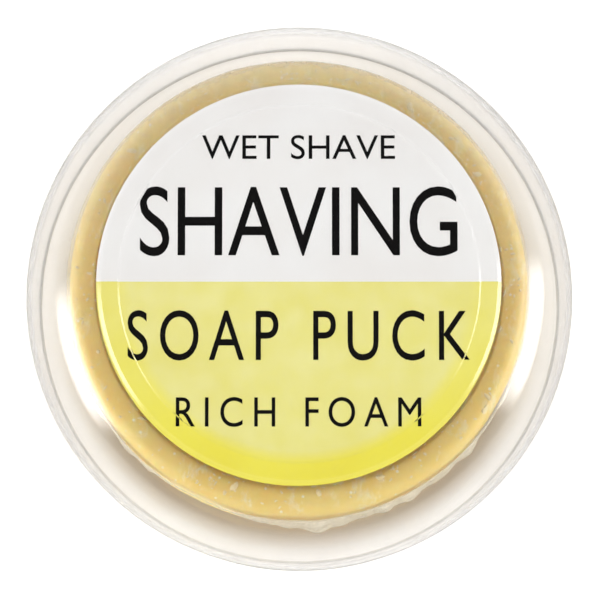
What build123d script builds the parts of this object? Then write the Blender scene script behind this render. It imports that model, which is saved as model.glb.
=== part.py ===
from build123d import *
import os

# Shaving soap puck in a clear two-piece tub. Millimetres, +Z up.
# Origin: centre of the face the tub rests on.

# Driving dimensions
TUB_R = 36.3  # widest radius, at the foot of the lid's shoulder
RIM_R = 35.8  # radius of the base flange and of the lid's lower edge
SHOULDER_Z = 7.1  # height of the widest radius
TOP_Z = 21.2  # height of the lid's flat top, inside its stacking ring
PLASTIC = 0.6  # thickness of the lid and of the base flange

# Stacking ring on the lid and the recess under the base that drops over it
RING_OUTER_R = 25.7
RING_INNER_R = 23.6
RING_HEIGHT = 0.6
RING_OUTER_SLOPE = 0.7  # radial run of the ring's outer side
RING_INNER_SLOPE = 0.2  # and of its inner side
RING_ROUND = 0.6  # rounding of its outer top edge
RECESS_R = 26.5
RECESS_DEPTH = 0.5

# Base plate and the fit of the lid on it
FLOOR_TOP_Z = 1.5  # top of the plate that the soap lies on
LID_GAP = 0.15  # radial gap between the lid's skirt and the plate
SEAT_GAP = 0.05  # the lid's lower edge over the base flange
EDGE_ROUND = 0.2

# Soap and the film draped over it
SOAP_R = 30.1
SOAP_THICKNESS = 15.9
SOAP_ROUND = 1.8
FILM = 0.25
FILM_GAP = 0.15  # film to soap, at the side
REST_GAP = 0.05  # between pieces that lie on each other
HEM_ABOVE_FLOOR = 0.8  # the film's hem hangs clear of the floor
PUCK_X = -0.15  # the wrapped soap lies a little off centre

# Labels
LABEL_R = 26.2
LABEL_X = -0.1  # the top label is stuck a little off centre
LABEL_Y = -0.1
BASE_LABEL_R = 22.0
PAPER = 0.12

# Heights and radii that follow from the above
SHOULDER_R = RING_OUTER_R + RING_OUTER_SLOPE  # where the shoulder meets the flat top
FLANGE_TOP_Z = PLASTIC
LID_BOTTOM_Z = FLANGE_TOP_Z + SEAT_GAP
LID_UNDERSIDE_Z = TOP_Z - PLASTIC
PLATE_R = RIM_R - PLASTIC - LID_GAP
SOAP_BOTTOM_Z = FLOOR_TOP_Z + REST_GAP
FILM_HEM_Z = FLOOR_TOP_Z + HEM_ABOVE_FLOOR
FILM_CEILING_Z = SOAP_BOTTOM_Z + SOAP_THICKNESS + REST_GAP
FILM_INNER_R = SOAP_R + FILM_GAP


def turned(profile, rounded):
    """Solid of revolution about Z of a closed (r, z) outline, with EDGE_ROUND on the corners in rounded."""
    with BuildPart() as body:
        with BuildSketch(Plane.XZ) as section:
            with BuildLine():
                profile()
            make_face()
            corners = [section.vertices().sort_by_distance(Vector(r, 0, z))[0] for r, z in rounded]
            fillet(corners, EDGE_ROUND)
        revolve(axis=Axis.Z)
    return body.part


def lid():
    """Skirt with a slight draft, elliptical shoulder, flat top and the stacking ring."""
    ring_z = TOP_Z + RING_HEIGHT

    def quarter_ellipse(widest_r, top_z):
        EllipticalCenterArc(
            (SHOULDER_R, SHOULDER_Z), widest_r - SHOULDER_R, top_z - SHOULDER_Z, arc_size=90
        )

    def profile():
        Line((RIM_R - PLASTIC, LID_BOTTOM_Z), (RIM_R, LID_BOTTOM_Z))
        Line((RIM_R, LID_BOTTOM_Z), (TUB_R, SHOULDER_Z))
        quarter_ellipse(TUB_R, TOP_Z)
        FilletPolyline(
            (SHOULDER_R, TOP_Z),
            (RING_OUTER_R, ring_z),
            (RING_INNER_R, ring_z),
            radius=RING_ROUND,
        )
        Polyline(
            (RING_INNER_R, ring_z),
            (RING_INNER_R - RING_INNER_SLOPE, TOP_Z),
            (0, TOP_Z),
            (0, LID_UNDERSIDE_Z),
            (SHOULDER_R, LID_UNDERSIDE_Z),
        )
        quarter_ellipse(TUB_R - PLASTIC, LID_UNDERSIDE_Z)
        Line((TUB_R - PLASTIC, SHOULDER_Z), (RIM_R - PLASTIC, LID_BOTTOM_Z))

    return turned(profile, [(RIM_R, LID_BOTTOM_Z), (SHOULDER_R, TOP_Z)])


def base_dish():
    """Plate that the lid slips over, with a flange below it and a shallow stacking recess underneath."""

    def profile():
        Polyline(
            (0, RECESS_DEPTH),
            (RECESS_R, RECESS_DEPTH),
            (RECESS_R, 0),
            (RIM_R, 0),
            (RIM_R, FLANGE_TOP_Z),
            (PLATE_R, FLANGE_TOP_Z),
            (PLATE_R, FLOOR_TOP_Z),
            (0, FLOOR_TOP_Z),
            close=True,
        )

    return turned(profile, [(RIM_R, 0), (RIM_R, FLANGE_TOP_Z), (PLATE_R, FLOOR_TOP_Z)])


def soap_puck():
    """Pressed disc with both rims rounded."""
    with BuildPart() as puck:
        with Locations((PUCK_X, 0, SOAP_BOTTOM_Z)):
            Cylinder(SOAP_R, SOAP_THICKNESS, align=(Align.CENTER, Align.CENTER, Align.MIN))
        fillet(puck.edges().filter_by(GeomType.CIRCLE), SOAP_ROUND)
    return puck.part


def film_wrap():
    """Cap of film over the top and down the side of the soap, plain here."""
    depth = FILM_CEILING_Z - FILM_HEM_Z
    upright = (Align.CENTER, Align.CENTER, Align.MIN)
    with BuildPart() as film:
        with Locations((PUCK_X, 0, FILM_HEM_Z)):
            Cylinder(FILM_INNER_R + FILM, depth + FILM, align=upright)
            Cylinder(FILM_INNER_R, depth, align=upright, mode=Mode.SUBTRACT)
    return film.part


def paper_disc(radius, x, y, z):
    """Flat label with its lower face at height z."""
    with BuildPart() as disc:
        with Locations((x, y, z)):
            Cylinder(radius, PAPER, align=(Align.CENTER, Align.CENTER, Align.MIN))
    return disc.part


parts = {
    "base_dish": base_dish(),
    "lid": lid(),
    "soap_puck": soap_puck(),
    "film_wrap": film_wrap(),
    "top_label": paper_disc(LABEL_R, LABEL_X, LABEL_Y, LID_UNDERSIDE_Z - REST_GAP - PAPER),
    "base_label": paper_disc(BASE_LABEL_R, 0, 0, RECESS_DEPTH - REST_GAP - PAPER),
}

os.makedirs("parts", exist_ok=True)
for name, part in parts.items():
    part.label = name
    export_step(part, f"parts/{name}.step")
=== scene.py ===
import math
import random

import bmesh
import bpy
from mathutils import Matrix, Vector, noise


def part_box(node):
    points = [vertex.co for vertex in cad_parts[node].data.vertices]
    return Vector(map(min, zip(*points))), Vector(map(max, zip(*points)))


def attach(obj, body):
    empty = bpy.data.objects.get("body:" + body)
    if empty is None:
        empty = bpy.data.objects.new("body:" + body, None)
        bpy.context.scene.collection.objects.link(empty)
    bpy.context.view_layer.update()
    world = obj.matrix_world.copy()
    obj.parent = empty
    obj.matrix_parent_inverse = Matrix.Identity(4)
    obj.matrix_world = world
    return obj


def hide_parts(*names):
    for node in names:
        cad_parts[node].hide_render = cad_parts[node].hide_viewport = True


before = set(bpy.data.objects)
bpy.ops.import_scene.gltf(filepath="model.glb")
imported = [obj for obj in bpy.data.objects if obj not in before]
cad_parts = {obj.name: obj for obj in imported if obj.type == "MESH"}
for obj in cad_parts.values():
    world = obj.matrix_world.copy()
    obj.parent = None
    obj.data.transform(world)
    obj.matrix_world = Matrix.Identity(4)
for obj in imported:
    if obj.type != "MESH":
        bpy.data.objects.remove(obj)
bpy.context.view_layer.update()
MM = 0.001
TURN = 2 * math.pi


# ---------------------------------------------------------------- sizes, in millimetres, from the frame

def node_box(node):
    """Lowest and highest corner of a CAD node, in millimetres."""
    low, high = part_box(node)
    return low / MM, high / MM


def radii_at(node, z):
    """Smallest and largest radius of a CAD node's vertices at height z, in millimetres."""
    level = 0.005
    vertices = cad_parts[node].data.vertices
    found = [v.co.xy.length / MM for v in vertices if abs(v.co.z / MM - z) < level]
    return min(found), max(found)


lid_low, lid_high = node_box("lid")
base_low, base_high = node_box("base_dish")
soap_low, soap_high = node_box("soap_puck")
label_low, label_high = node_box("top_label")

# The CAD's own dimensions that can't be read from a box
PLASTIC = 0.6  # thickness of the lid and of the base's flange
LID_GAP = 0.15  # between the lid's skirt and the base's plate
EDGE_ROUND = 0.2
SHOULDER_Z = 7.1  # height of the lid's widest radius
RING_HEIGHT = 0.6  # stacking ring on the lid
RING_SLOPE = 0.7  # radial run of the ring's outer side
INNER_SLOPE = 0.2  # and of its inner side
OUTER_ROUND = 0.6
INNER_ROUND = 0.02
RECESS_R = 26.5  # stacking recess under the base
RECESS_DEPTH = 0.5
SOAP_ROUND = 1.8

TUB_R = lid_high.x
RIM_R = base_high.x
RING_TOP = lid_high.z
LID_FOOT = lid_low.z
RING_INNER_R, ring_flat_r = radii_at("lid", RING_TOP)
RING_OUTER_R = ring_flat_r + OUTER_ROUND * math.tan(math.atan2(RING_HEIGHT, RING_SLOPE) / 2)
FLAT_TOP = RING_TOP - RING_HEIGHT
UNDERSIDE = FLAT_TOP - PLASTIC
SHOULDER_R = RING_OUTER_R + RING_SLOPE
PLATE_R = RIM_R - PLASTIC - LID_GAP
FLOOR_Z = base_high.z

PUCK_X = (soap_low.x + soap_high.x) / 2
SOAP_R = (soap_high.y - soap_low.y) / 2
SOAP_TOP = soap_high.z
SOAP_FOOT = soap_low.z
LABEL_X = (label_low.x + label_high.x) / 2
LABEL_Y = (label_low.y + label_high.y) / 2


# ---------------------------------------------------------------- mesh helpers

def new_piece(name, mesh, body, material, smooth=True):
    """Links a mesh made in millimetres as a piece that rides on a CAD body."""
    for vertex in mesh.vertices:
        vertex.co *= MM
    for face in mesh.polygons:
        face.use_smooth = smooth
    mesh.materials.append(material)
    piece = bpy.data.objects.new(name, mesh)
    bpy.context.scene.collection.objects.link(piece)
    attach(piece, body)
    return piece


def rounded_outline(corners, steps=6):
    """Outline through (r, z, radius) corners, with an arc of the given radius at each."""
    outline = []
    for i, (r, z, radius) in enumerate(corners):
        here = Vector((r, z))
        if radius == 0:
            outline.append(here)
            continue
        before = (Vector(corners[i - 1][:2]) - here).normalized()
        after = (Vector(corners[(i + 1) % len(corners)][:2]) - here).normalized()
        half = before.angle(after) / 2
        centre = here + (before + after).normalized() * radius / math.sin(half)
        start = here + before * radius / math.tan(half) - centre
        end = here + after * radius / math.tan(half) - centre
        sweep = start.angle(end)
        for k in range(steps + 1):
            share = k / steps
            a = math.sin((1 - share) * sweep) / math.sin(sweep)
            b = math.sin(share * sweep) / math.sin(sweep)
            outline.append(centre + start * a + end * b)
    return outline


def quarter_ellipse(centre_r, centre_z, half_r, half_z, steps=28):
    """Corners from the widest point up to the top of an ellipse, without arcs."""
    turns = [math.pi / 2 * k / steps for k in range(steps + 1)]
    return [(centre_r + half_r * math.cos(t), centre_z + half_z * math.sin(t), 0) for t in turns]


def lathe(name, outline, segments=240):
    """Mesh of a closed (r, z) outline turned about Z. Points on the axis become one vertex each."""
    bm = bmesh.new()
    ways = [(math.cos(TURN * s / segments), math.sin(TURN * s / segments)) for s in range(segments)]
    rings = []
    for point in outline:
        if point.x < 1e-6:
            rings.append([bm.verts.new((0, 0, point.y))] * segments)
            continue
        rings.append([bm.verts.new((point.x * x, point.x * y, point.y)) for x, y in ways])
    for i, ring in enumerate(rings):
        other = rings[(i + 1) % len(rings)]
        for s in range(segments):
            t = (s + 1) % segments
            corners = []
            for vert in (ring[s], ring[t], other[t], other[s]):
                if vert not in corners:
                    corners.append(vert)
            if len(corners) > 2:
                bm.faces.new(corners)
    bmesh.ops.recalc_face_normals(bm, faces=bm.faces)
    mesh = bpy.data.meshes.new(name)
    bm.to_mesh(mesh)
    bm.free()
    return mesh


def even_shading(piece):
    """Normals that keep flats flat beside small rounded edges."""
    weighted = piece.modifiers.new("even_shading", "WEIGHTED_NORMAL")
    weighted.weight = 80


# ---------------------------------------------------------------- material helpers

def srgb(red, green, blue):
    """Linear colour from display values of 0 to 255."""
    def linear(value):
        share = value / 255
        return share / 12.92 if share <= 0.04045 else ((share + 0.055) / 1.055) ** 2.4
    return (linear(red), linear(green), linear(blue), 1)


class Nodes:
    """Short calls for building one material's node tree."""

    def __init__(self, name):
        self.material = bpy.data.materials.new(name)
        self.material.use_nodes = True
        self.tree = self.material.node_tree
        self.tree.nodes.clear()
        self.out = self.add("ShaderNodeOutputMaterial")
        self.place = self.add("ShaderNodeTexCoord").outputs["Object"]

    def add(self, kind, inputs=None, **settings):
        node = self.tree.nodes.new(kind)
        for key, value in settings.items():
            setattr(node, key, value)
        for key, value in (inputs or {}).items():
            self.feed(node.inputs[key], value)
        return node

    def feed(self, socket, value):
        """Links a socket to another one, or sets it to a fixed value."""
        if isinstance(value, bpy.types.NodeSocket):
            self.tree.links.new(value, socket)
        else:
            socket.default_value = value

    def noise(self, per_mm, detail=3.0, rough=0.5, stretch=(1, 1, 1)):
        """Noise with features of about 1 / per_mm millimetres."""
        mapping = self.add("ShaderNodeMapping", {"Vector": self.place, "Scale": stretch})
        inputs = {"Vector": mapping.outputs[0], "Scale": per_mm / MM, "Detail": detail, "Roughness": rough}
        return self.add("ShaderNodeTexNoise", inputs).outputs["Fac"]

    def spots(self, per_mm):
        """Distance to scattered points, about per_mm of them in a millimetre."""
        inputs = {"Vector": self.place, "Scale": per_mm / MM}
        return self.add("ShaderNodeTexVoronoi", inputs).outputs["Distance"]

    def remap(self, value, low, high, to_low=0.0, to_high=1.0):
        """Value carried from low..high to to_low..to_high, and held at the ends."""
        inputs = {"Value": value, "From Min": low, "From Max": high, "To Min": to_low, "To Max": to_high}
        return self.add("ShaderNodeMapRange", inputs).outputs[0]

    def mix(self, share, first, second):
        """Colour between first (share 0) and second (share 1)."""
        node = self.add("ShaderNodeMix", data_type="RGBA")
        self.feed(node.inputs[0], share)
        self.feed(node.inputs[6], first)
        self.feed(node.inputs[7], second)
        return node.outputs[2]

    def maths(self, operation, first, second):
        node = self.add("ShaderNodeMath", operation=operation)
        self.feed(node.inputs[0], first)
        self.feed(node.inputs[1], second)
        return node.outputs[0]

    def bump(self, height, depth_mm, strength=1.0):
        inputs = {"Height": height, "Distance": depth_mm * MM, "Strength": strength}
        return self.add("ShaderNodeBump", inputs).outputs[0]

    def axis(self, name):
        return self.add("ShaderNodeSeparateXYZ", {"Vector": self.place}).outputs[name]

    def radius(self):
        """Distance from the tub's axis."""
        flat = self.add("ShaderNodeVectorMath", {0: self.place, 1: (1, 1, 0)}, operation="MULTIPLY")
        return self.add("ShaderNodeVectorMath", {0: flat.outputs[0]}, operation="LENGTH").outputs["Value"]

    def surface(self, shader):
        self.tree.links.new(shader, self.out.inputs["Surface"])
        return self.material


# ---------------------------------------------------------------- materials

def clear_plastic():
    """Clear moulded polystyrene: faint warm tint, soft flow waves and fine handling marks.

    It is painted greyer where seen edge on and darker at the seam where the skirt stands on the flange, both
    painted shade. Shadow rays and bounced light pass straight through, so that what lies inside is lit.
    """
    n = Nodes("clear_plastic")
    facing = n.add("ShaderNodeLayerWeight", {"Blend": 0.5}).outputs["Facing"]
    waves = n.noise(0.12, detail=1.0)
    marks = n.noise(1.4, detail=4.0, rough=0.65, stretch=(1, 0.25, 1))
    tint = n.mix(n.remap(waves, 0.35, 0.65), srgb(253, 252, 251), srgb(252, 250, 248))
    tint = n.mix(n.remap(facing, 0.1, 0.5), tint, srgb(249, 248, 247))
    # Painted shade: greyer where the plastic is seen edge on, which darkens the tub's outer band.
    tint = n.mix(n.remap(facing, 0.65, 0.9), tint, srgb(220, 219, 215))
    # Painted shade: a dark line at the seam where the skirt stands on the flange, standing in for the line
    # that internal reflection draws there.
    foot = n.remap(n.axis("Z"), SEAM_Z * MM, (SEAM_Z + 0.2) * MM, 1.0, 0.0)
    outside = n.remap(n.radius(), (SEAM_R - 0.1) * MM, SEAM_R * MM)
    tint = n.mix(n.maths("MULTIPLY", foot, outside), tint, srgb(206, 201, 190))
    rough = n.maths("ADD", n.remap(marks, 0.45, 0.8, 0.015, 0.035), n.remap(facing, 0.6, 0.95, 0.0, 0.03))
    height = n.maths("ADD", waves, n.maths("MULTIPLY", marks, 0.02))
    glass = n.add("ShaderNodeBsdfPrincipled", {
        "Base Color": tint, "Roughness": rough, "IOR": 1.57, "Transmission Weight": 1.0,
        "Normal": n.bump(height, 0.01, n.remap(facing, 0.2, 0.5, 0.4, 0.0)),
    })
    passing = n.add("ShaderNodeBsdfTransparent", {"Color": srgb(248, 248, 247)})
    light = n.add("ShaderNodeLightPath")
    through = n.maths("MAXIMUM", light.outputs["Is Shadow Ray"], light.outputs["Is Diffuse Ray"])
    mixed = n.add("ShaderNodeMixShader", {0: through, 1: glass.outputs[0], 2: passing.outputs[0]})
    return n.surface(mixed.outputs[0])


def honey_soap():
    """Pressed soap: honey body with paler clouds and smears, and fine pale grains."""
    n = Nodes("honey_soap")
    clouds = n.noise(0.09, detail=4.0, rough=0.6)
    grain = n.noise(1.6, detail=3.0)
    grains = n.spots(0.6)
    smears = n.noise(0.45, detail=4.0, rough=0.7, stretch=(1, 0.5, 1))
    body = n.mix(n.remap(clouds, 0.35, 0.7), srgb(247, 214, 122), srgb(250, 226, 150))
    body = n.mix(n.remap(grain, 0.5, 0.8, 0, 0.3), body, srgb(248, 232, 188))
    body = n.mix(n.remap(smears, 0.54, 0.68, 0, 0.6), body, srgb(252, 243, 214))
    body = n.mix(n.remap(grains, 0.06, 0.16, 0.9, 0.0), body, srgb(255, 252, 240))
    height = n.maths("ADD", clouds, n.maths("MULTIPLY", grain, 0.35))
    soap = n.add("ShaderNodeBsdfPrincipled", {
        "Base Color": body, "Roughness": n.remap(grain, 0.3, 0.7, 0.38, 0.55), "IOR": 1.46,
        "Subsurface Weight": 0.8, "Subsurface Radius": (1.0, 0.7, 0.35), "Subsurface Scale": 4 * MM,
        "Normal": n.bump(height, 0.12, 0.5),
    })
    return n.surface(soap.outputs[0])


def soap_crumb():
    """Dry pale flakes of the same soap."""
    n = Nodes("soap_crumb")
    grain = n.noise(3.0)
    colour = n.mix(n.remap(grain, 0.3, 0.7), srgb(250, 238, 204), srgb(244, 226, 176))
    crumb = n.add("ShaderNodeBsdfPrincipled", {
        "Base Color": colour, "Roughness": n.remap(grain, 0.3, 0.7, 0.55, 0.75),
        "Normal": n.bump(grain, 0.05),
    })
    return n.surface(crumb.outputs[0])


def two_tone_label():
    """Coated paper, white above its middle line, yellow below it, paler inside the lid's ring and higher up:
    painted haze.
    """
    n = Nodes("two_tone_label")
    split = SPLIT_Y * MM
    ring = (RING_INNER_R - INNER_SLOPE / 2) * MM
    edge = n.remap(n.axis("Y"), split - 0.03 * MM, split + 0.03 * MM)
    fibres = n.noise(2.2, detail=5.0, rough=0.7, stretch=(1, 0.4, 1))
    blotch = n.noise(0.06, detail=2.0)
    haze_noise = n.noise(0.25, detail=3.0)
    white = n.mix(n.remap(blotch, 0.3, 0.7), srgb(248, 248, 249), srgb(244, 243, 244))
    strong = n.mix(n.remap(blotch, 0.3, 0.7), srgb(247, 238, 96), srgb(243, 232, 84))
    pale = n.mix(n.remap(haze_noise, 0.3, 0.7), srgb(245, 240, 160), srgb(241, 235, 138))
    # Painted haze: the yellow is paler inside the lid's ring and above the lower part, standing in for a veil
    # of reflected light.
    outward = n.remap(n.radius(), ring - 1.6 * MM, ring)
    lower = n.remap(n.axis("Y"), -3 * MM, -20 * MM, 0.35, 1.0)
    yellow = n.mix(n.maths("MULTIPLY", outward, lower), pale, strong)
    colour = n.mix(edge, yellow, white)
    colour = n.mix(n.remap(fibres, 0.5, 0.9, 0, 0.1), colour, srgb(214, 208, 196))
    paper = n.add("ShaderNodeBsdfPrincipled", {
        "Base Color": colour, "Roughness": n.remap(fibres, 0.3, 0.7, 0.6, 0.75), "Specular IOR Level": 0.1,
        "Normal": n.bump(fibres, 0.01, 0.5),
    })
    return n.surface(paper.outputs[0])


def printing_ink():
    """Dense black ink with a fine speck."""
    n = Nodes("printing_ink")
    speck = n.noise(4.0, detail=2.0)
    colour = n.mix(n.remap(speck, 0.4, 0.8), srgb(8, 7, 8), srgb(20, 18, 18))
    ink = n.add("ShaderNodeBsdfPrincipled", {
        "Base Color": colour, "Roughness": n.remap(speck, 0.3, 0.7, 0.6, 0.8), "Specular IOR Level": 0.1,
        "Normal": n.bump(speck, 0.01),
    })
    return n.surface(ink.outputs[0])


def plain_paper():
    """Uncoated paper, slightly warm, with visible fibres."""
    n = Nodes("plain_paper")
    fibres = n.noise(1.8, detail=5.0, rough=0.7, stretch=(0.4, 1, 1))
    colour = n.mix(n.remap(fibres, 0.3, 0.8), srgb(244, 243, 239), srgb(232, 229, 222))
    paper = n.add("ShaderNodeBsdfPrincipled", {
        "Base Color": colour, "Roughness": n.remap(fibres, 0.3, 0.7, 0.6, 0.8),
        "Normal": n.bump(fibres, 0.02),
    })
    return n.surface(paper.outputs[0])


def clear_film():
    """Thin film: clear on the soap, milky towards the far rim and down the crumpled side, that milk partly
    painted light.

    Bounced light passes straight through, so that the soap below is lit.
    """
    n = Nodes("clear_film")
    creases = n.noise(0.5, detail=4.0, rough=0.6)
    fine = n.noise(3.0, detail=3.0)
    rim = n.remap(n.radius(), (SOAP_R - 5) * MM, SOAP_R * MM)
    side = n.remap(n.axis("Z"), (SOAP_TOP - 1.2) * MM, (SOAP_TOP - 3.5) * MM)
    # Partly painted reflection: besides the film's own haze, milk rising towards the far rim paints the pale
    # veil the lid's shoulder reflects there.
    far = n.remap(n.axis("Y"), -15 * MM, 25 * MM, 0.1, 1.75)
    top_milk_and_painted_veil = n.maths("MULTIPLY", n.maths("MULTIPLY", rim, far), n.remap(creases, 0.3, 0.7, 0.13, 0.2))
    # Partly painted light: besides the film's own haze, the milk down the near side is set high to lighten
    # that side, which lies in shade.
    near = n.remap(n.axis("Y"), 5 * MM, -15 * MM, 0.05, 1.0)
    near = n.maths("MAXIMUM", near, n.remap(n.axis("Y"), 14 * MM, 26 * MM, 0.0, 0.8))
    side_milk_and_painted_light = n.maths("MULTIPLY", n.maths("MULTIPLY", side, near), n.remap(creases, 0.3, 0.7, 0.4, 0.8))
    alpha = n.maths("ADD", 0.03, n.maths("ADD", top_milk_and_painted_veil, side_milk_and_painted_light))
    film = n.add("ShaderNodeBsdfPrincipled", {
        "Base Color": n.mix(n.remap(fine, 0.3, 0.7), srgb(255, 248, 228), srgb(250, 240, 212)),
        "Roughness": n.remap(fine, 0.3, 0.7, 0.15, 0.3), "IOR": 1.5, "Alpha": alpha,
        "Normal": n.bump(fine, 0.02, 0.4),
    })
    clear = n.add("ShaderNodeBsdfTransparent", {"Color": srgb(250, 240, 214)})
    bounced = n.add("ShaderNodeLightPath").outputs["Is Diffuse Ray"]
    mixed = n.add("ShaderNodeMixShader", {0: bounced, 1: film.outputs[0], 2: clear.outputs[0]})
    return n.surface(mixed.outputs[0])


SPLIT_Y = 0.25
SEAM_Z = LID_FOOT + 0.3
SEAM_R = PLATE_R + 0.05
PLASTIC_LOOK = clear_plastic()
SOAP_LOOK = honey_soap()
CRUMB_LOOK = soap_crumb()
LABEL_LOOK = two_tone_label()
INK_LOOK = printing_ink()
PAPER_LOOK = plain_paper()
FILM_LOOK = clear_film()


# ---------------------------------------------------------------- tub

def build_lid():
    """Skirt, elliptical shoulder, flat top and stacking ring."""
    corners = [(RIM_R - PLASTIC, LID_FOOT, EDGE_ROUND), (RIM_R, LID_FOOT, EDGE_ROUND)]
    corners += quarter_ellipse(SHOULDER_R, SHOULDER_Z, TUB_R - SHOULDER_R, FLAT_TOP - SHOULDER_Z)[:-1]
    corners += [
        (SHOULDER_R, FLAT_TOP, 0),
        (RING_OUTER_R, RING_TOP, OUTER_ROUND),
        (RING_INNER_R, RING_TOP, INNER_ROUND),
        (RING_INNER_R - INNER_SLOPE, FLAT_TOP, INNER_ROUND),
        (0, FLAT_TOP, 0),
        (0, UNDERSIDE, 0),
    ]
    inner = quarter_ellipse(SHOULDER_R, SHOULDER_Z, TUB_R - PLASTIC - SHOULDER_R, UNDERSIDE - SHOULDER_Z)
    corners += reversed(inner)
    mesh = lathe("lid_shell", rounded_outline(corners))
    piece = new_piece("lid_shell", mesh, "lid", PLASTIC_LOOK)
    even_shading(piece)
    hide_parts("lid")


def build_base():
    """Plate with a flange below it and a recess underneath."""
    corners = [
        (0, RECESS_DEPTH, 0),
        (RECESS_R, RECESS_DEPTH, EDGE_ROUND),
        (RECESS_R, 0, EDGE_ROUND),
        (RIM_R, 0, EDGE_ROUND),
        (RIM_R, PLASTIC, EDGE_ROUND),
        (PLATE_R, PLASTIC, EDGE_ROUND / 2),
        (PLATE_R, FLOOR_Z, EDGE_ROUND),
        (0, FLOOR_Z, 0),
    ]
    mesh = lathe("base_shell", rounded_outline(corners))
    piece = new_piece("base_shell", mesh, "base", PLASTIC_LOOK)
    even_shading(piece)
    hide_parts("base_dish")


# ---------------------------------------------------------------- soap

def soap_outline(face_rings=34, rim_steps=10, side_rings=16):
    """Top face, rounded rim, side and rounded lower rim, with enough points for the waves."""
    flat_r = SOAP_R - SOAP_ROUND
    side_low, side_high = SOAP_FOOT + SOAP_ROUND, SOAP_TOP - SOAP_ROUND
    turns = [math.pi / 2 * k / rim_steps for k in range(rim_steps + 1)]
    top = [(flat_r * k / face_rings, SOAP_TOP) for k in range(face_rings)]
    rim = [(flat_r + SOAP_ROUND * math.sin(t), SOAP_TOP - SOAP_ROUND * (1 - math.cos(t))) for t in turns]
    side = [(SOAP_R, side_high + (side_low - side_high) * k / side_rings) for k in range(1, side_rings)]
    low_rim = [(flat_r + SOAP_ROUND * math.cos(t), side_low - SOAP_ROUND * math.sin(t)) for t in turns]
    return [Vector(point) for point in top + rim + side + low_rim + [(0, SOAP_FOOT)]]


def build_soap():
    """Turned disc with gentle waves and a worn rim, drawn in so that it stays in the CAD's space."""
    drawn_in = 0.12
    mesh = lathe("soap_disc", soap_outline(), segments=220)
    mesh.update()
    offsets = []
    for vertex in mesh.vertices:
        swell = noise.noise(vertex.co * 0.11) * 0.16
        dents = noise.noise(vertex.co * 0.6 + Vector((7, 3, 1))) * 0.05
        offsets.append(vertex.normal * (swell + dents - drawn_in))
    for vertex, offset in zip(mesh.vertices, offsets):
        vertex.co += offset
        vertex.co.x += PUCK_X
    piece = new_piece("soap_disc", mesh, "soap", SOAP_LOOK)
    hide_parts("soap_puck")


def build_crumbs():
    """Small pale flakes left on the soap's face by the press, a few of them larger."""
    rng = random.Random(11)
    flakes = 700
    sunk = 0.12
    bm = bmesh.new()
    for _ in range(flakes):
        angle = rng.uniform(0, TURN)
        radius = SOAP_R * math.sqrt(rng.uniform(0.5, 0.93))
        size = rng.uniform(0.07, 0.2) * (1 + 1.2 * (rng.random() < 0.1))
        centre = Vector((PUCK_X + radius * math.cos(angle), radius * math.sin(angle), SOAP_TOP - sunk))
        made = bmesh.ops.create_icosphere(bm, subdivisions=1, radius=1.0)["verts"]
        turn = rng.uniform(0, TURN)
        length = size * rng.uniform(1.0, 2.4)
        for vert in made:
            bumpy = 1 + 0.35 * noise.noise(vert.co * 1.7 + centre)
            x, y, z = vert.co.x * length * bumpy, vert.co.y * size * bumpy, vert.co.z * size * 0.5 * bumpy
            turned_x = x * math.cos(turn) - y * math.sin(turn)
            turned_y = x * math.sin(turn) + y * math.cos(turn)
            vert.co = centre + Vector((turned_x, turned_y, z))
    mesh = bpy.data.meshes.new("soap_crumbs")
    bm.to_mesh(mesh)
    bm.free()
    new_piece("soap_crumbs", mesh, "soap", CRUMB_LOOK, smooth=False)


# ---------------------------------------------------------------- film

SIM = 0.05  # the film is simulated larger than life: this many simulation metres per millimetre
FILM_THICKNESS = 0.03
FILM_LIFT = 0.12  # the flat sheet starts this far off the soap
FILM_REACH = 18  # longest piece of sheet beyond the soap's rim

# Directions around the tub, in degrees, 270 being straight towards the camera
SHORT_SIDE = 243
LONG_SIDE = 275
SMOOTH_SIDE = 325


def bump_at(angle, middle, width):
    """Smooth rise to 1 around a direction, both in degrees."""
    away = (angle - middle + 180) % 360 - 180
    return math.exp(-(away / width) ** 2)


def film_drop(way):
    """How far down the soap's side the film hangs: hardly at all left of the front, most just right of it."""
    angle = math.degrees(math.atan2(way.y, way.x))
    ragged = 1.6 * noise.noise(Vector((way.x * 2.1, way.y * 2.1, 4)))
    ragged += 1.1 * noise.noise(Vector((way.x * 9, way.y * 9, 7)))
    ragged += 0.9 * noise.noise(Vector((way.x * 22, way.y * 22, 2)))
    usual = 12.0 + ragged
    return usual - 11.0 * bump_at(angle, SHORT_SIDE, 15) + 2.0 * bump_at(angle, LONG_SIDE, 6)


def film_fold(reach, flat_r, arc):
    """Radius and height of the sheet at a distance from its middle: flat, round the rim, down the side."""
    top = SOAP_TOP + FILM_LIFT
    if reach < flat_r:
        return reach, top
    if reach < flat_r + arc:
        turn = (reach - flat_r) / SOAP_ROUND
        return flat_r + SOAP_ROUND * math.sin(turn), top - SOAP_ROUND * (1 - math.cos(turn))
    spread = 0.05
    below = reach - flat_r - arc
    return SOAP_R + FILM_LIFT + spread * below, top - SOAP_ROUND - below


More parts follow.
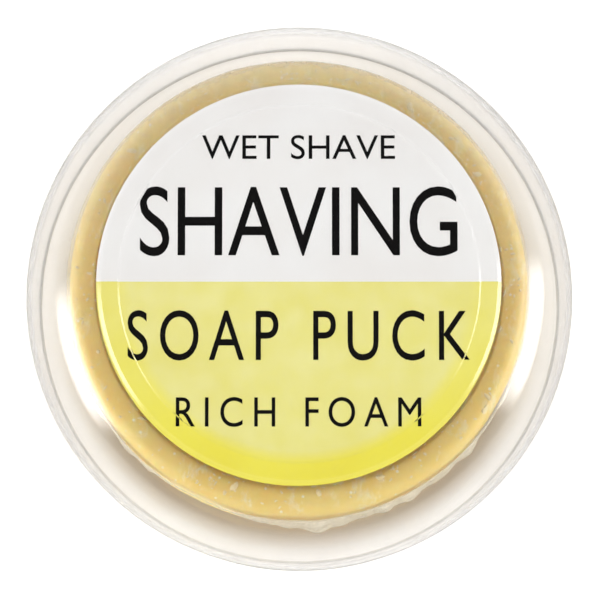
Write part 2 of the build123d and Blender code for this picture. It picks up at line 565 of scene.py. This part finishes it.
def film_blank(spacing=0.85, shake=0.2):
    """Sheet of shaken triangles folded down over the soap like a cap, in simulation metres."""
    rng = random.Random(5)
    flat_r = SOAP_R + FILM_LIFT - SOAP_ROUND
    arc = SOAP_ROUND * math.pi / 2
    longest = flat_r + arc + FILM_REACH
    row_step = spacing * math.sqrt(3) / 2
    rows = int(longest / row_step) + 1
    bm = bmesh.new()
    made = {}
    for row in range(-rows, rows + 1):
        for column in range(-rows * 2, rows * 2 + 1):
            x = (column + 0.5 * (row % 2)) * spacing + rng.uniform(-shake, shake) * spacing
            y = row * row_step + rng.uniform(-shake, shake) * spacing
            reach = math.hypot(x, y)
            if reach > longest:
                continue
            way = Vector((x, y)) / max(reach, 1e-6)
            if reach > flat_r + arc + film_drop(way):
                continue
            radius, z = film_fold(reach, flat_r, arc)
            made[column, row] = bm.verts.new((way.x * radius * SIM, way.y * radius * SIM, z * SIM))
    for (column, row), vert in made.items():
        shift = row % 2
        right = made.get((column + 1, row))
        above_left = made.get((column - 1 + shift, row + 1))
        above_right = made.get((column + shift, row + 1))
        if above_left and above_right:
            bm.faces.new((vert, above_right, above_left))
        if right and above_right:
            bm.faces.new((vert, right, above_right))
    mesh = bpy.data.meshes.new("film_blank")
    bm.to_mesh(mesh)
    bm.free()
    return mesh


def collider(name, outline):
    """Turned body that the simulated film can't pass."""
    mesh = lathe(name, [Vector((p.x * SIM, p.y * SIM)) for p in outline], segments=120)
    body = bpy.data.objects.new(name, mesh)
    bpy.context.scene.collection.objects.link(body)
    body.modifiers.new("collision", "COLLISION")
    body.collision.thickness_outer = 0.1 * SIM
    body.collision.cloth_friction = 8
    return body


def film_forms():
    """The bodies that hold the film in: the soap, and the space between plate and skirt."""
    wall_r = PLATE_R - 1
    outer_r = wall_r + 2
    wall_top = 20
    below = FLOOR_Z - 1
    soap_corners = [
        (0, SOAP_FOOT, 0), (SOAP_R, SOAP_FOOT, 1.0), (SOAP_R, SOAP_TOP, SOAP_ROUND), (0, SOAP_TOP, 0),
    ]
    dish_corners = [
        (0, below, 0), (0, FLOOR_Z, 0), (wall_r, FLOOR_Z, 0), (wall_r, wall_top, 0),
        (outer_r, wall_top, 0), (outer_r, below, 0),
    ]
    soap_form = collider("soap_form", rounded_outline(soap_corners))
    return [soap_form, collider("dish_form", rounded_outline(dish_corners))]


def mark_loose(sheet):
    """Weights for how much the sheet grows: more the lower it hangs, less on its smooth side."""
    loose = sheet.vertex_groups.new(name="loose")
    fully_loose = 12
    for vertex in sheet.data.vertices:
        hang = (SOAP_TOP * SIM - vertex.co.z) / (fully_loose * SIM)
        angle = math.degrees(math.atan2(vertex.co.y, vertex.co.x))
        slack = 1 - 0.6 * bump_at(angle, SMOOTH_SIDE, 35)
        loose.add([vertex.index], min(max(hang, 0.0), 1.0) * slack, "REPLACE")


def crumple(mesh, frames=36):
    """Lets the sheet grow a little and settle on the soap, above the plate and inside the lid's skirt."""
    scene = bpy.context.scene
    sheet = bpy.data.objects.new("film_blank", mesh)
    scene.collection.objects.link(sheet)
    mark_loose(sheet)
    helpers = film_forms()
    cloth = sheet.modifiers.new("cloth", "CLOTH")
    settings = cloth.settings
    settings.quality = 6
    settings.mass = 0.15
    settings.tension_stiffness = 25
    settings.compression_stiffness = 25
    settings.shear_stiffness = 10
    settings.bending_stiffness = 0.4
    settings.air_damping = 2
    settings.vertex_group_shrink = "loose"
    settings.shrink_min = -0.005
    settings.shrink_max = -0.13
    contact = cloth.collision_settings
    contact.distance_min = 0.12 * SIM
    contact.use_self_collision = True
    contact.self_distance_min = 0.1 * SIM
    contact.collision_quality = 3
    for frame_number in range(1, frames + 1):
        scene.frame_set(frame_number)
    settled = bpy.data.meshes.new_from_object(sheet.evaluated_get(bpy.context.evaluated_depsgraph_get()))
    for helper in helpers + [sheet]:
        bpy.data.objects.remove(helper)
    scene.frame_set(1)
    return settled


def build_film():
    """Thin film draped over the soap: crumpled by simulation, then given its thickness."""
    mesh = crumple(film_blank())
    full_depth = 14
    for vertex in mesh.vertices:
        place = vertex.co / SIM
        angle = math.degrees(math.atan2(place.y, place.x))
        depth = min(max((SOAP_TOP - place.z) / full_depth, 0), 1)
        flare = 1 + 0.03 * depth * bump_at(angle, LONG_SIDE, 3)
        vertex.co = Vector((place.x * flare + PUCK_X, place.y * flare, place.z))
    mesh.materials.clear()
    piece = new_piece("draped_film", mesh, "film", FILM_LOOK)
    body = piece.modifiers.new("thickness", "SOLIDIFY")
    body.thickness = FILM_THICKNESS * MM
    body.offset = 1
    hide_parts("film_wrap")


# ---------------------------------------------------------------- labels

INK_FOOT = 0.002  # height of the print's lower face over the paper
INK_TOP = 0.012  # and of its upper face


def join_corners(mesh):
    """Joins the corners that a letter's faces and sides share, so that each letter is closed."""
    bm = bmesh.new()
    bm.from_mesh(mesh)
    bmesh.ops.remove_doubles(bm, verts=bm.verts, dist=1e-5)
    bm.to_mesh(mesh)
    bm.free()


def word_mesh(name, words, spacing):
    """Closed letters of a line of print, in the font's own units."""
    curve = bpy.data.curves.new(name, "FONT")
    curve.body = words
    curve.align_x = "CENTER"
    curve.space_character = spacing
    curve.resolution_u = 6
    curve.extrude = 0.01
    holder = bpy.data.objects.new(name, curve)
    mesh = bpy.data.meshes.new_from_object(holder)
    bpy.data.objects.remove(holder)
    join_corners(mesh)
    return mesh


def printed_words(name, words, centre_y, width, height, spacing=1.0):
    """One line of print on the top label, fitted to a width and a height."""
    mesh = word_mesh(name, words, spacing)
    xs = [v.co.x for v in mesh.vertices]
    ys = [v.co.y for v in mesh.vertices]
    scale_x = width / (max(xs) - min(xs))
    scale_y = height / (max(ys) - min(ys))
    middle_x, middle_y = (max(xs) + min(xs)) / 2, (max(ys) + min(ys)) / 2
    for vertex in mesh.vertices:
        x = LABEL_X + (vertex.co.x - middle_x) * scale_x
        y = LABEL_Y + centre_y + (vertex.co.y - middle_y) * scale_y
        above = INK_TOP if vertex.co.z > 0 else INK_FOOT
        vertex.co = Vector((x, y, label_high.z + above))
    new_piece(name, mesh, "lid", INK_LOOK, smooth=False)


def build_labels():
    """Paper looks on the CAD's two labels, and the lines of print on the top one."""
    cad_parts["top_label"].data.materials[0] = LABEL_LOOK
    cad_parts["base_label"].data.materials[0] = PAPER_LOOK
    printed_words("print_line_1", "WET SHAVE", 18.1, 25.2, 3.2)
    printed_words("print_line_2", "SHAVING", 8.3, 41.4, 9.2)
    printed_words("print_line_3", "SOAP PUCK", -6.7, 44.4, 6.6, 1.3)
    printed_words("print_line_4", "RICH FOAM", -16.7, 31.8, 3.9, 1.4)


# ---------------------------------------------------------------- stage, light and camera

def floor_look():
    """Pale floor with painted light: it glows a little around the tub's foot, and warm painted shade pools
    beside the soap.
    """
    n = Nodes("pale_floor")
    soft = n.noise(0.01)
    open_view = n.add("ShaderNodeLightPath").outputs["Is Camera Ray"]
    # Painted light: the floor glows under the tub, rising away from the soap and towards both ends, to shape
    # the shade there.
    brightest = (PLATE_R - 0.6) * MM
    rising = n.remap(n.radius(), (SOAP_R + 1.2) * MM, brightest, 0.0, 0.22)
    falling = n.remap(n.radius(), brightest, TUB_R * MM, 1.0, 0.0)
    ends = n.remap(n.maths("ABSOLUTE", n.axis("Y"), 0.0), 8 * MM, 28 * MM, 0.0, 0.08)
    inside = n.maths("MULTIPLY", n.maths("ADD", rising, ends), falling)
    glow = n.maths("ADD", inside, n.maths("MULTIPLY", open_view, 0.3))
    pale = n.mix(soft, (0.9, 0.9, 0.9, 1), (0.92, 0.92, 0.92, 1))
    # Painted shade: an amber pool on the floor beside the soap's front, standing in for its shadow and the
    # warm light it bounces.
    beside = n.remap(n.radius(), (SOAP_R + 0.5) * MM, (PLATE_R - 1.5) * MM, 1.0, 0.0)
    front = n.remap(n.axis("Y"), -5 * MM, -25 * MM, 0.15, 1.0)
    painted_warm_shade = n.mix(n.maths("MULTIPLY", beside, front), pale, (0.74, 0.6, 0.42, 1))
    floor = n.add("ShaderNodeBsdfPrincipled", {
        "Base Color": painted_warm_shade, "Roughness": 0.7, "Specular IOR Level": 0.2,
        "Emission Color": (1, 1, 1, 1), "Emission Strength": glow,
    })
    return n.surface(floor.outputs[0])


def build_stage():
    """Wide floor just under the tub's foot, so that no two faces share a plane."""
    size = 3000 * MM
    below = -0.03 * MM
    corners = [(-size, -size, below), (size, -size, below), (size, size, below), (-size, size, below)]
    mesh = bpy.data.meshes.new("floor")
    mesh.from_pydata(corners, [], [(0, 1, 2, 3)])
    mesh.materials.append(floor_look())
    floor = bpy.data.objects.new("floor", mesh)
    bpy.context.scene.collection.objects.link(floor)


def dim_edges(light, fade=0.3):
    """Makes an area light dimmer towards its edges, over a share of its width and height."""
    light.use_nodes = True
    tree = light.node_tree
    place = tree.nodes.new("ShaderNodeNewGeometry").outputs["Parametric"]
    split = tree.nodes.new("ShaderNodeSeparateXYZ")
    tree.links.new(place, split.inputs[0])
    shares = []
    for side in ("X", "Y"):
        ramp = tree.nodes.new("ShaderNodeMath")
        ramp.operation = "PINGPONG"
        ramp.inputs[1].default_value = 0.5
        tree.links.new(split.outputs[side], ramp.inputs[0])
        soft = tree.nodes.new("ShaderNodeMapRange")
        soft.interpolation_type = "SMOOTHSTEP"
        soft.inputs["From Max"].default_value = fade
        tree.links.new(ramp.outputs[0], soft.inputs["Value"])
        shares.append(soft.outputs[0])
    both = tree.nodes.new("ShaderNodeMath")
    both.operation = "MULTIPLY"
    tree.links.new(shares[0], both.inputs[0])
    tree.links.new(shares[1], both.inputs[1])
    tree.links.new(both.outputs[0], tree.nodes["Emission"].inputs["Strength"])


def softbox(name, way, distance, size, radiance, mirrored=True):
    """Area light aimed at the tub, sized and placed in metres.

    Way is its azimuth and elevation in degrees. Unmirrored, it only lights and isn't seen in the plastic.
    """
    width, height = size
    light = bpy.data.lights.new(name, "AREA")
    light.shape = "RECTANGLE"
    light.size = width
    light.size_y = height
    light.energy = radiance * math.pi * width * height
    dim_edges(light)
    lamp = bpy.data.objects.new(name, light)
    lamp.visible_glossy = mirrored
    lamp.visible_transmission = mirrored
    azimuth, elevation = (math.radians(angle) for angle in way)
    flat = math.cos(elevation)
    aim = Vector((math.cos(azimuth) * flat, math.sin(azimuth) * flat, math.sin(elevation)))
    lamp.location = aim * distance
    lamp.rotation_euler = aim.to_track_quat("Z", "Y").to_euler()
    bpy.context.scene.collection.objects.link(lamp)


def build_lamps():
    """A softbox at each side, mirrored in the lid's shoulder, a weak fill in front and a key above."""
    softbox("softbox_left", (192, 18), 0.9, (0.72, 0.7), 7.0)
    softbox("softbox_right", (-5, 16), 0.9, (0.72, 0.7), 7.0)
    softbox("front_fill", (270, 8), 0.9, (0.5, 0.25), 4.0, mirrored=False)
    softbox("key", (90, 81), 1.0, (0.4, 0.4), 21.0, mirrored=False)


def build_world():
    """White studio, bright around the horizon and dark overhead, so that flat plastic mirrors nothing."""
    world = bpy.data.worlds.new("studio")
    world.use_nodes = True
    tree = world.node_tree
    way = tree.nodes.new("ShaderNodeTexCoord").outputs["Generated"]
    split = tree.nodes.new("ShaderNodeSeparateXYZ")
    tree.links.new(way, split.inputs[0])
    fade = tree.nodes.new("ShaderNodeMapRange")
    tree.links.new(split.outputs["Z"], fade.inputs["Value"])
    for key, value in {"From Min": 0.3, "From Max": 0.93, "To Min": 0.75, "To Max": 0.02}.items():
        fade.inputs[key].default_value = value
    tree.links.new(fade.outputs[0], tree.nodes["Background"].inputs["Strength"])
    tree.nodes["Background"].inputs["Color"].default_value = (1, 1, 1, 1)
    bpy.context.scene.world = world
    bpy.context.scene.view_settings.view_transform = "Standard"


def build_camera():
    """Nearly straight above, tilted towards the label's lower edge, the tub filling most of the width."""
    tilt = math.radians(8.0)
    distance = 600 * MM
    tub_share = 0.907
    width = 2 * TUB_R * MM / tub_share
    camera = bpy.data.cameras.new("camera")
    camera.angle = 2 * math.atan(width / 2 / distance)
    eye = bpy.data.objects.new("camera", camera)
    middle = Vector((0.09 * MM, 0, 5.4 * MM))
    way = Vector((0, -math.sin(tilt), math.cos(tilt)))
    eye.location = middle + way * distance
    eye.rotation_euler = way.to_track_quat("Z", "Y").to_euler()
    bpy.context.scene.collection.objects.link(eye)
    bpy.context.scene.camera = eye


build_lid()
build_base()
build_soap()
build_crumbs()
build_film()
build_labels()
build_stage()
build_lamps()
build_world()
build_camera()
